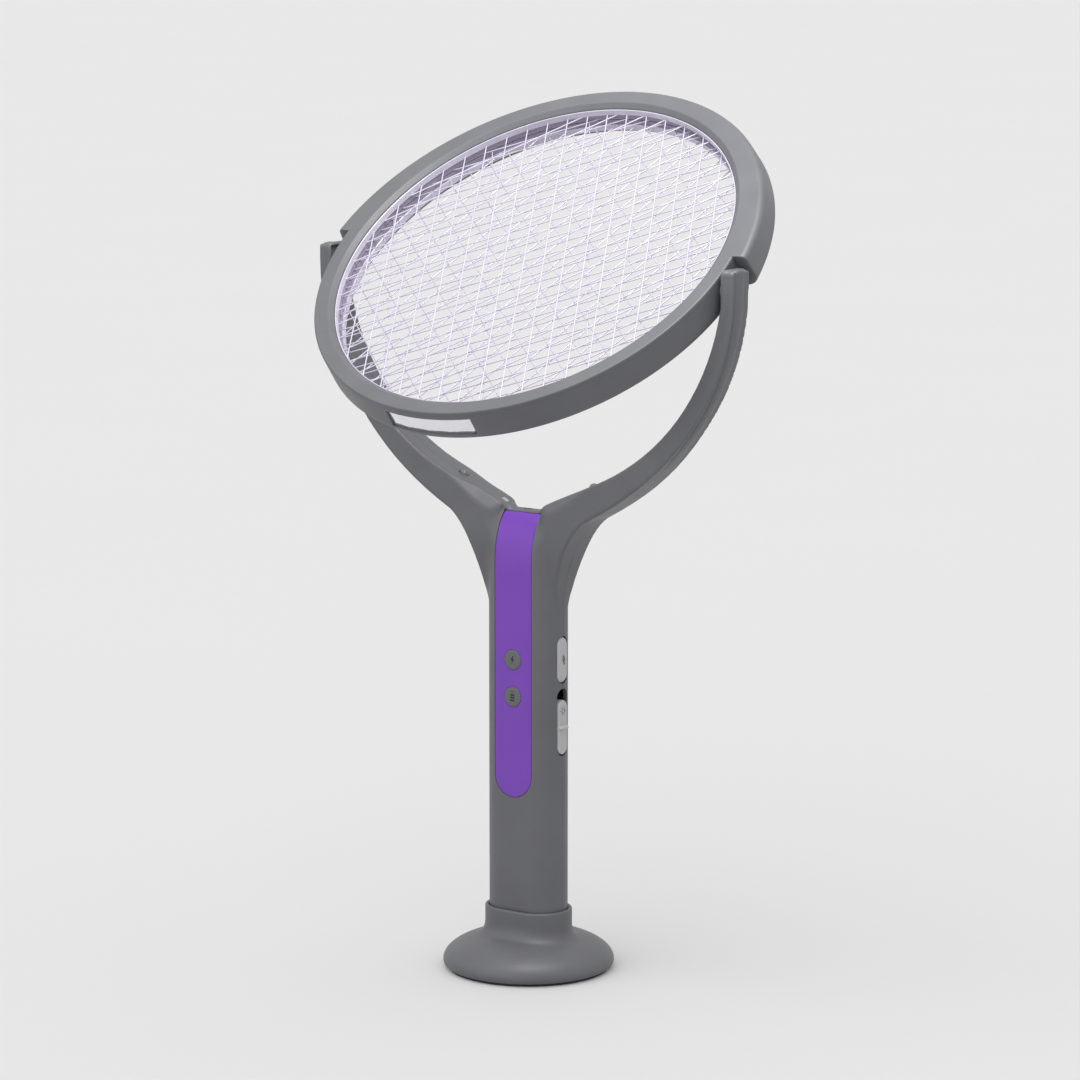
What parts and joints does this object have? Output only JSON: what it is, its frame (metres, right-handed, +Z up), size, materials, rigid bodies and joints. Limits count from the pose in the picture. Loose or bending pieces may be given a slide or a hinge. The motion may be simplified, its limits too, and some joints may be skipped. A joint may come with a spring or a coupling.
{
  "type": "electric fly swatter",
  "caption": "Cordless fly swatter: round wire grid head tilting in a forked handle with side controls, standing in a domed round stand.",
  "frame": {"origin": "centre of the underside of the stand's rubber pad", "axes": "+Z up along the handle, +X along the head's pivot axis towards the side with the switches, -Y out of the handle's front"},
  "size_m": [0.244, 0.1895, 0.4267],
  "materials": {
    "body_grey": "fine satin texture",
    "control_grey": "fine satin texture",
    "accent_purple": "soft gloss",
    "clear_lens": "polished, faceted",
    "spacer_grey": "satin",
    "grid_wire": "bright drawn wire",
    "steel": "zinc plated",
    "black_plastic": "matt",
    "board": "solder mask",
    "copper": "enamelled wire",
    "brass": "turned",
    "capacitor_red": "dipped resin",
    "cell_wrap": "heat-shrink film",
    "lead_black": "silicone",
    "rubber": "matt"
  },
  "bodies": {
    "stand": {"base_shell": "body_grey", "base_cover": "body_grey", "base_weight": "steel", "base_pad": "rubber", "base_screws": "steel"},
    "handle": {"front_shell": "body_grey", "rear_shell": "body_grey", "end_cap": "body_grey", "accent_panel": "accent_purple", "upper_indicator_lens": "body_grey", "lower_indicator_lens": "body_grey", "light_pipes": "clear_lens", "indicator_leds": "clear_lens", "main_board": "board", "boost_transformer": "copper", "storage_capacitors": "capacitor_red", "usb_socket": "steel", "tact_switch": "black_plastic", "mode_switch": "steel", "battery_carrier": "black_plastic", "battery_cell": "cell_wrap", "battery_contacts": "steel", "arm_lamps": "clear_lens", "crotch_lamps": "clear_lens", "light_sensor": "black_plastic", "shell_screws": "steel", "left_arm_lead": "lead_black", "right_arm_lead": "lead_black", "left_pivot_bush": "brass", "right_pivot_bush": "brass", "pivot_washers": "steel"},
    "trigger": {"trigger_button": "control_grey"},
    "slider": {"mode_slider": "control_grey"},
    "head": {"front_rim": "body_grey", "rear_rim": "body_grey", "front_guard_grid": "grid_wire", "live_grid": "grid_wire", "rear_guard_grid": "grid_wire", "front_spacer_ring": "spacer_grey", "rear_spacer_ring": "spacer_grey", "lamp_window": "clear_lens", "lamp_board": "board", "lure_lamps": "clear_lens", "left_pivot_stub": "steel", "right_pivot_stub": "steel", "rim_screws": "steel", "grid_leads": "lead_black"}
  },
  "joints": [
    {"name": "handle_lift", "type": "slide", "parent": "stand", "child": "handle", "axis": [0, 0, 1], "range_m": [0, 0.06]},
    {"name": "trigger_press", "type": "slide", "parent": "handle", "child": "trigger", "axis": [-1, 0, 0], "range_m": [0, 0.0015], "stiffness_N_per_m": 1200, "springref_m": -0.0008},
    {"name": "mode_slide", "type": "slide", "parent": "handle", "child": "slider", "axis": [0, 0, 1], "range_m": [0, 0.0055]},
    {"name": "head_tilt", "type": "hinge", "parent": "handle", "child": "head", "pos_m": [0, 0, 0.343], "axis": [1, 0, 0], "range_deg": [-38.2, 141.8]}
  ]
}
